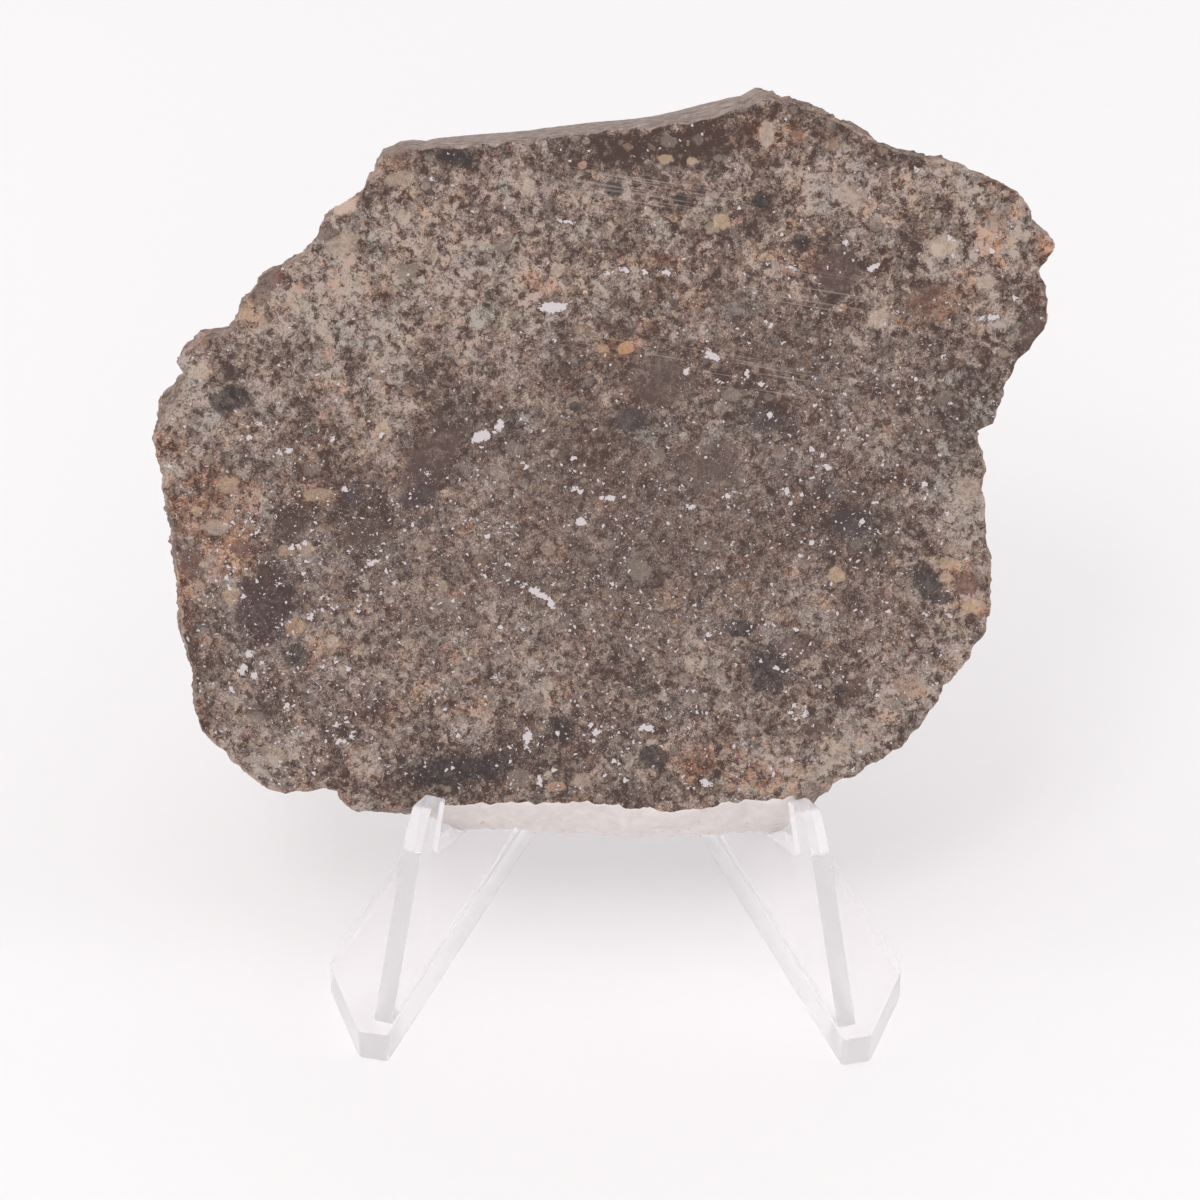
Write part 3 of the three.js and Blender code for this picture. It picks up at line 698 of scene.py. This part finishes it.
SAW_TURN = radians(9)
SAW_STRETCH = (13.0, 5.0, 0.16)  # mm that a streak measures along, into and across the face


def saw_lines(nodes, place):
    """Fine straight lines: noise drawn out along a direction some degrees off level, cut to thin streaks."""
    turned = nodes.add("Mapping", {"Vector": place}, vector_type="TEXTURE")
    turned.inputs["Rotation"].default_value = (0, SAW_TURN, 0)
    turned.inputs["Scale"].default_value = SAW_STRETCH
    streaks = nodes.noise(turned.outputs[0], 1.0, 2.0, 0.7)
    thin = nodes.step(streaks, 0.55, 0.63)
    return nodes.math("MULTIPLY", thin, nodes.step(nodes.attribute("scuffed"), 0.15, 0.8), clamp=True)


RIM_STOPS = [
    (0.34, paint(84, 68, 61)),
    (0.45, paint(132, 116, 108)),
    (0.56, paint(162, 147, 139)),
    (0.68, paint(192, 180, 172)),
]
RIM_STREAKS = (0.8, 5.0, 1)  # streaks per mm along the rim and across it
CRUST_STOPS = [(0.3, paint(214, 205, 202)), (0.52, paint(221, 213, 210)), (0.75, paint(230, 223, 221))]
CRUST_RAGGED = 0.4  # how far the crust's edge wanders
CRUST_SPECK = paint(190, 160, 124)


def rim_material(groups):
    """The natural rim: weathered stone, greyer and streaked along the slice on top, brown on the sides, with
    a pale crust on the lower side that has a few tan specks near the back edge."""
    material, nodes, shader, _ = new_material("weathered_rim")
    place, bent = stone_place(nodes)
    top = nodes.attribute("smooth_top")
    warmth = nodes.step(top, 0.0, 1.0, 0.3, -0.2)
    grain = nodes.group(groups["grain"], Vector=bent, Tone=0.35, Contrast=0.8, Patchy=1.0, Warmth=warmth)
    colour = nodes.group(groups["rust"], Vector=bent, Amount=warmth, Color=grain["Color"])["Color"]
    streaked = nodes.add("Mapping", {"Vector": nodes.add("UVMap", uv_map="along_rim").outputs[0]})
    streaked.inputs["Scale"].default_value = RIM_STREAKS
    streaks = nodes.noise(streaked.outputs[0], 1.0, 4.0, 0.7)
    colour = nodes.mix(nodes.step(top, 0.0, 1.0, 0.2, 0.75), colour, nodes.ramp(streaks, RIM_STOPS))
    crust_edge = nodes.swing(place, 1.1, 5.0, 0.65)
    crust = nodes.math("MULTIPLY_ADD", crust_edge, CRUST_RAGGED, nodes.attribute("crust"))
    crust = nodes.step(crust, 0.42, 0.58)
    crust_colour = nodes.ramp(nodes.noise(bent, 0.9, 3.0, 0.6), CRUST_STOPS)
    distance, _, chosen, _ = nodes.cells(bent, 1.5)
    near_back = nodes.step(nodes.attribute("back_edge"), 0.3, 1.0)
    few = nodes.math("LESS_THAN", chosen, nodes.math("MULTIPLY", near_back, 0.45))
    speck = nodes.math("MULTIPLY", nodes.step(distance, 0.1, 0.24, 1.0, 0.0), few)
    crust_colour = nodes.mix(nodes.math("MULTIPLY", speck, 0.75), crust_colour, CRUST_SPECK)
    colour = nodes.mix(crust, with_clasts(nodes, bent, colour), crust_colour)
    nodes.put(shader.inputs["Base Color"], colour)
    shader.inputs["Roughness"].default_value = RIM_ROUGHNESS
    relief = nodes.math("ADD", nodes.math("MULTIPLY", streaks, 0.8), nodes.noise(place, 2.2, 4.0, 0.65))
    relief = nodes.math("MULTIPLY", relief, nodes.step(crust, 0.0, 1.0, 1.0, 0.08))
    bump = nodes.add("Bump", {"Height": relief, "Strength": 0.7, "Distance": RIM_RELIEF})
    nodes.put(shader.inputs["Normal"], bump.outputs[0])
    return material


PLASTIC = (0.982, 0.968, 0.978, 1)
CLEARNESS = 0.78  # share of the light that goes through; the rest makes the plastic a little milky
PLASTIC_IOR = 1.5
ABSORPTION = {"Color": (0.93, 0.91, 0.925, 1), "Density": 5.0}
SHADOW_TINT = (0.99, 0.985, 0.985, 1)
SMOOTHEST, CLOUDIEST, FROSTED = 0.08, 0.16, 0.38  # roughness, and what frosting adds
PAD_BOTTOM = 14.8 * MM
PAD_FADE = 0.2 * MM


def clear_plastic_material():
    """Clear moulded polystyrene, a little milky: plain transmission with a faint cloudiness of the surface,
    frosted on the narrow front faces under the pads, and a slight absorption that shows where light runs
    along a wall."""
    material, nodes, shader, output = new_material("clear_plastic")
    shader.inputs["Base Color"].default_value = PLASTIC
    shader.inputs["Transmission Weight"].default_value = CLEARNESS
    shader.inputs["IOR"].default_value = PLASTIC_IOR
    place = nodes.add("TexCoord").outputs["Object"]
    clear = nodes.step(nodes.noise(place, 260.0, 4.0, 0.6), 0.35, 0.75, SMOOTHEST, CLOUDIEST)
    height = nodes.add("SeparateXYZ", {"Vector": place}).outputs["Z"]
    under_pad = nodes.step(height, PAD_BOTTOM - PAD_FADE, PAD_BOTTOM + PAD_FADE, FROSTED, 0.0)
    frosted = nodes.math("MULTIPLY_ADD", nodes.attribute("frosted"), under_pad, clear)
    nodes.put(shader.inputs["Roughness"], frosted)
    nodes.put(output.inputs["Volume"], nodes.add("VolumeAbsorption", ABSORPTION).outputs[0])
    through = nodes.add("BsdfTransparent", {"Color": SHADOW_TINT})
    lit = nodes.add("LightPath").outputs["Is Shadow Ray"]
    mixed = nodes.add("MixShader", {0: lit, 1: shader.outputs[0], 2: through.outputs[0]})
    nodes.put(output.inputs["Surface"], mixed.outputs[0])
    return material


CARD_TONES = ((0.858, 0.844, 0.849, 1), (0.872, 0.858, 0.863, 1))


def floor_material():
    """Pale matt card, with a trace of tooth."""
    material, nodes, shader, _ = new_material("pale_card")
    place = nodes.add("TexCoord").outputs["Object"]
    tooth = nodes.noise(place, 900.0, 3.0, 0.6)
    nodes.put(shader.inputs["Base Color"], nodes.mix(tooth, *CARD_TONES))
    shader.inputs["Roughness"].default_value = 0.9
    shader.inputs["Specular IOR Level"].default_value = 0.1
    return material


# ---------------------------------------------------------------- the slice

FACE_CELLS = 240  # cells along each side of the front face's grid
BACK_RINGS = 14  # rings of the back face
CORNER_DEPTHS = (0.0, 0.03, 0.08, 0.15, 0.25)  # mm; the rows that round the sawn edges
RIM_INNER_ROWS = 13  # rows of the rim between them
LEAST_CHIP, LARGE_CHIPS, SMALL_CHIPS = 0.06, 0.22, 0.08  # mm that the rounded corners take off
ROUGH_EDGE, ROUGH_MIDDLE = 0.1, 0.12  # mm of roughness at the sawn edges, and what the middle adds
CALMER_TOP, CALMER_CRUST = 0.8, 0.6  # how much of it is taken away there
# Stretches of the rim: angles in degrees between which each lies, and how softly it starts and ends.
SMOOTH_TOP = (66, 128, 5)
EASED_TOP = (70, 120, 5)
CRUSTED = (242, 302, 3)
TRIMMED_CORNER = (300, 336, 6)
CORNER_TRIM = 0.9  # mm that the back edge draws in at that corner
BACK_TRIM = 0.3  # mm that it draws in along the top
EDGE_MEND = 0.1  # mm; makes up for the rounded corner where the front edge is the outline
MEAN_RADIUS = 30  # mm, about what the slice's outline has
EASE_REACH = 72  # the running mean along the top takes in a 72nd of a turn to each side
# Small swells and hollows of the rim: angle and half width in degrees, and how far out, in mm.
SWELLS = [
    (84, 8, -0.3), (66, 3, -0.25), (54, 5, 0.45), (43, 4, -0.6), (127, 2, -0.3), (144.5, 2.5, -0.3),
    (150.5, 2.5, 0.3), (158, 3, -0.4), (169, 4, -0.25), (334, 4, -0.35),
]


def square_disc(cells):
    """A square grid pressed into a disc. For each corner with sides a and b from -1 to 1, the share of the
    way to the rim is the larger of |a| and |b|. The angle runs evenly along each square ring: an eighth of
    a turn from the middle of a side to its corner, so pi/4 times b/a, or a/b."""
    line = np.linspace(-1, 1, cells + 1)
    a, b = np.meshgrid(line, line)
    share = np.maximum(abs(a), abs(b))
    wide = abs(a) >= abs(b)
    ratio = np.where(wide, b, a) / np.where(share == 0, 1, np.where(wide, a, b))
    angle = np.where(wide, pi / 4 * ratio + pi * (a < 0), pi / 2 - pi / 4 * ratio + pi * (b < 0))
    return share, angle


def cad_rings():
    """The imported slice's rim as radius against angle: one row for each depth, on even angles from 0 to a full
    turn. Corners are sorted by angle about the middle, and radii between them are read off straight lines.
    Along the smooth top the rings behind the front edge are a running mean over ten degrees."""
    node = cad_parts["meteorite_slice"]
    flat = np.empty(len(node.data.vertices) * 3)
    node.data.vertices.foreach_get("co", flat)
    corners = np.unique(np.round(to_slice(flat.reshape(-1, 3)), 4), axis=0)
    ring = np.round(corners[:, 1] / THICK * (CAD_RINGS - 1)).astype(int)
    across, up = corners[:, 0] - MIDDLE[0], corners[:, 2] - MIDDLE[1]
    angle, radius = np.arctan2(up, across), np.hypot(across, up)
    even = np.linspace(0, 2 * pi, 4 * FACE_CELLS, endpoint=False)
    rows = np.array(
        [np.interp(even, angle[ring == k], radius[ring == k], period=2 * pi) for k in range(CAD_RINGS)]
    )
    reach = len(even) // EASE_REACH
    eased = sum(np.roll(rows, k, axis=1) for k in range(-reach, reach + 1)) / (2 * reach + 1)
    share = window(even, *EASED_TOP) * (np.arange(CAD_RINGS)[:, None] > 0)
    return even, rows * (1 - share) + eased * share


def rim_radius(angle, depth, even, rows):
    """Radius of the rim at any angle and depth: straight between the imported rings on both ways."""
    row = np.clip(depth / THICK * (CAD_RINGS - 1), 0, CAD_RINGS - 1.001)
    low = row.astype(int)
    column = (angle % (2 * pi)) / (2 * pi) * len(even)
    left = column.astype(int) % len(even)
    right = (left + 1) % len(even)
    u, v = column - np.floor(column), row - low
    near = rows[low, left] * (1 - u) + rows[low, right] * u
    far = rows[low + 1, left] * (1 - u) + rows[low + 1, right] * u
    return near * (1 - v) + far * v


def window(angle, start, end, soft):
    """1 between two angles in degrees and 0 elsewhere, with straight flanks as wide as soft."""
    degrees = np.degrees(angle) % 360
    return np.clip((degrees - start) / soft, 0, 1) * np.clip((end - degrees) / soft, 0, 1)


def slice_surface():
    """The whole skin of the slice. Front face: the square disc, stretched to the front edge's radius. Rim:
    the same angles, carried through rows of growing depth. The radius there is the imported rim's, plus waves
    of three lengths, least along the smooth top and the crust, plus the swells, less what is trimmed towards
    the back. Near both sawn faces it shrinks by a quarter circle as wide as the chips there. Back face: rings
    that shrink evenly to the middle. Gives places in the slice's frame, faces, and which faces lie on the
    rim."""
    even, rows = cad_rings()
    share, angle = square_disc(FACE_CELLS)
    n = FACE_CELLS
    index = np.arange((n + 1) ** 2).reshape(n + 1, n + 1)
    border = np.concatenate([index[0, :-1], index[:-1, -1], index[-1, :0:-1], index[:0:-1, 0]])
    around = angle.ravel()[border]
    circle = np.stack([np.cos(around), np.zeros(len(around)), np.sin(around)], 1) * MEAN_RADIUS
    large = np.clip(waves(circle, length=2.6, seed=3), 0, None) ** 1.5
    small = np.clip(waves(circle, length=0.7, seed=4), 0, None)
    chip = LEAST_CHIP + LARGE_CHIPS * large + SMALL_CHIPS * small
    turned = around % (2 * pi)
    order = np.argsort(turned)
    chip_all = np.interp(angle.ravel() % (2 * pi), turned[order], chip[order])

    def place(angles, radius, depth):
        return np.stack([MIDDLE[0] + radius * np.cos(angles), depth, MIDDLE[1] + radius * np.sin(angles)], 1)

    def roughened(angles, depth):
        radius = rim_radius(angles, depth, even, rows)
        at = place(angles, radius, depth)
        belly = 4 * depth * (THICK - depth) / THICK**2
        calm = CALMER_TOP * window(angles, *SMOOTH_TOP) + CALMER_CRUST * window(angles, *CRUSTED)
        amount = (ROUGH_EDGE + ROUGH_MIDDLE * belly) * (1 - calm)
        rough = 0.6 - abs(waves(at, length=3.1, seed=5)) - 0.7 * abs(waves(at, length=1.3, seed=6))
        rough = rough + 0.5 * waves(at, length=0.55, seed=7)
        trim = BACK_TRIM * np.clip(np.sin(angles), 0, 1) + CORNER_TRIM * window(angles, *TRIMMED_CORNER)
        outward = EDGE_MEND * np.clip(-np.sin(angles), 0, 1)
        back_only = np.where(np.sin(angles) > 0, depth / THICK, 1)
        for at_angle, half_width, swell in SWELLS:
            away = (np.degrees(angles) - at_angle + 180) % 360 - 180
            outward = outward + swell * back_only * np.exp(-((away / half_width) ** 2))
        return radius + amount * rough - trim * depth / THICK + outward

    front_radius = roughened(angle.ravel(), np.zeros(share.size)) - chip_all
    front = place(angle.ravel(), front_radius * share.ravel(), np.zeros(share.size))
    inner = np.linspace(CORNER_DEPTHS[-1], THICK - CORNER_DEPTHS[-1], RIM_INNER_ROWS + 2)[1:-1]
    depths = [*CORNER_DEPTHS[1:], *inner, *(THICK - d for d in CORNER_DEPTHS[::-1])]
    rings = []
    for row_depth in depths:
        depth = np.full(len(around), row_depth)
        corner = np.clip(np.minimum(depth, THICK - depth) / chip, 0, 1)
        inset = chip * (1 - np.sqrt(1 - (1 - corner) ** 2))
        rings.append(place(around, roughened(around, depth) - inset, depth))
    middle = np.array([MIDDLE[0], THICK, MIDDLE[1]])
    edge = rings[-1] - middle
    rings += [edge * (1 - k / BACK_RINGS) + middle for k in range(1, BACK_RINGS)]
    points = np.concatenate([front, *rings, [middle]])

    grid = np.stack([index[:-1, :-1], index[:-1, 1:], index[1:, 1:], index[1:, :-1]], -1).reshape(-1, 4)
    loops = len(front) + np.arange(len(rings) * len(around)).reshape(len(rings), -1)
    loops = np.concatenate([border[None], loops])
    after = np.roll(loops, -1, axis=1)
    sides = np.stack([loops[:-1], loops[1:], after[1:], after[:-1]], -1).reshape(-1, 4)
    last = len(points) - 1
    fan = np.stack([loops[-1], np.full(len(around), last), after[-1]], -1)
    kinds = np.zeros(len(grid) + len(sides) + len(fan), np.int32)
    kinds[len(grid) : len(grid) + len(depths) * len(around)] = 1
    return points, [*grid.tolist(), *sides.tolist(), *fan.tolist()], kinds


def ring_grains():
    """Small metal grains set along the circle around a chondrule, some of them a little out of step."""
    for x, z, radius in METAL_RINGS:
        for k in range(RING_COUNT):
            turn = 360 * k / RING_COUNT + OUT_OF_STEP * (k % 3)
            across, up = x + radius * cos(radians(turn)), z + radius * sin(radians(turn))
            yield across, up, RING_GRAIN[0] * radius, RING_GRAIN[1] * radius, turn + 90


METAL_EVERYWHERE = 0.12  # plenty of metal outside the spots that add to it
PATCHY_EVERYWHERE = 1.15  # patchiness outside the even spots


def add_slice(groups):
    """The stone: the skin of the slice, with what shows on it kept as values and colours at its vertices."""
    points, faces, kinds = slice_surface()
    across, depth, up = points.T
    made = mesh_object("stone_slice", to_row(points), faces)
    mesh = made.data
    mesh.polygons.foreach_set("material_index", kinds)
    mesh.polygons.foreach_set("use_smooth", np.ones(len(mesh.polygons), bool))
    store(mesh, "tone", np.clip(soft_spots(across, up, TONES), -3, 3))
    store(mesh, "warmth", np.clip(soft_spots(across, up, WARMTHS), -2, 2))
    store(mesh, "metal_plenty", METAL_EVERYWHERE + soft_spots(across, up, METAL_PLENTY))
    store(mesh, "patchy", np.clip(PATCHY_EVERYWHERE - soft_spots(across, up, EVEN), 0.2, 1.2))
    store(mesh, "scuffed", soft_spots(across, up, SCUFFED))
    grains = [*METAL_GRAINS, *ring_grains()]
    store(mesh, "metal_depth", np.clip(depth_inside(points, grains, True)[0], -1, 1))
    clasts = [(*place, paint(*colour), even) for colour, even, places in CLASTS.values() for place in places]
    clast_depth, which = depth_inside(points, clasts, False)
    store(mesh, "clast_depth", np.clip(clast_depth, -1.5, 1.5))
    store(mesh, "clast_colour", np.array([clast[-2] for clast in clasts])[which], "FLOAT_COLOR")
    store(mesh, "clast_evenness", np.array([clast[-1] for clast in clasts])[which])
    angle = np.arctan2(up - MIDDLE[1], across - MIDDLE[0])
    store(mesh, "crust", window(angle, *CRUSTED))
    store(mesh, "smooth_top", window(angle, *SMOOTH_TOP))
    store(mesh, "back_edge", depth / THICK)
    layer = mesh.uv_layers.new(name="along_rim")
    corners = np.empty(len(mesh.loops), np.int32)
    mesh.loops.foreach_get("vertex_index", corners)
    uv = np.stack([np.abs(angle) * MEAN_RADIUS, depth], 1)[corners]
    layer.uv.foreach_set("vector", uv.astype(np.float32).ravel())
    for material in (sawn_face_material(groups), rim_material(groups)):
        mesh.materials.append(material)
    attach(made, BODY)
    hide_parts("meteorite_slice")


# ---------------------------------------------------------------- the easel

EDGE_ROUND = 0.16 * MM
SHARP = radians(40)  # edges that turn by more than this are rounded
SAME_PLACE = 0.002 * MM  # corners no further apart are merged
SAME_PLANE = radians(0.6)  # faces that turn by no more are joined
NARROW = 30 * MM**2  # front faces smaller than this are frosted
FRONTWARD = -0.3  # a front face's normal points at least this much towards -Y


def add_easel():
    """The easel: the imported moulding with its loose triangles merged, flat faces joined, and every sharp edge
    rounded a little, as a moulding's edges are."""
    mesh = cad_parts["display_easel"].data.copy()
    mesh.name = "clear_easel"
    made = bpy.data.objects.new("clear_easel", mesh)
    bpy.context.scene.collection.objects.link(made)
    edit = bmesh.new()
    edit.from_mesh(mesh)
    bmesh.ops.remove_doubles(edit, verts=edit.verts, dist=SAME_PLACE)
    bmesh.ops.dissolve_limit(edit, angle_limit=SAME_PLANE, verts=edit.verts, edges=edit.edges)
    edit.to_mesh(mesh)
    edit.free()
    normals = np.empty(len(mesh.polygons) * 3)
    mesh.polygons.foreach_get("normal", normals)
    areas = np.array([face.area for face in mesh.polygons])
    narrow_front = (normals[1::3] < FRONTWARD) & (areas < NARROW)
    frosted = mesh.attributes.new("frosted", "FLOAT", "FACE")
    frosted.data.foreach_set("value", narrow_front.astype(np.float32))
    mesh.materials.clear()
    mesh.materials.append(clear_plastic_material())
    bevel = made.modifiers.new("rounded_edges", "BEVEL")
    bevel.width = EDGE_ROUND
    bevel.segments = 2
    bevel.limit_method = "ANGLE"
    bevel.angle_limit = SHARP
    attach(made, BODY)
    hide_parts("display_easel")


# ---------------------------------------------------------------- the floor

FLOOR_GAP = 0.04 * MM  # keeps the card clear of the easel's underside, so that light gets out of the plastic
CARD_HALF = 2.5  # metres


def add_floor():
    """A wide flat square card that the easel stands on."""
    corners = np.array([[-1, -1, 0], [1, -1, 0], [1, 1, 0], [-1, 1, 0]]) * CARD_HALF
    corners[:, 2] = -FLOOR_GAP
    floor = mesh_object("floor_card", corners, [[0, 1, 2, 3]])
    floor.data.materials.append(floor_material())


bpy.context.scene.view_settings.view_transform = "Standard"
add_camera()
add_light()
allow_long_light_paths()
add_floor()
add_slice(stone_groups())
add_easel()
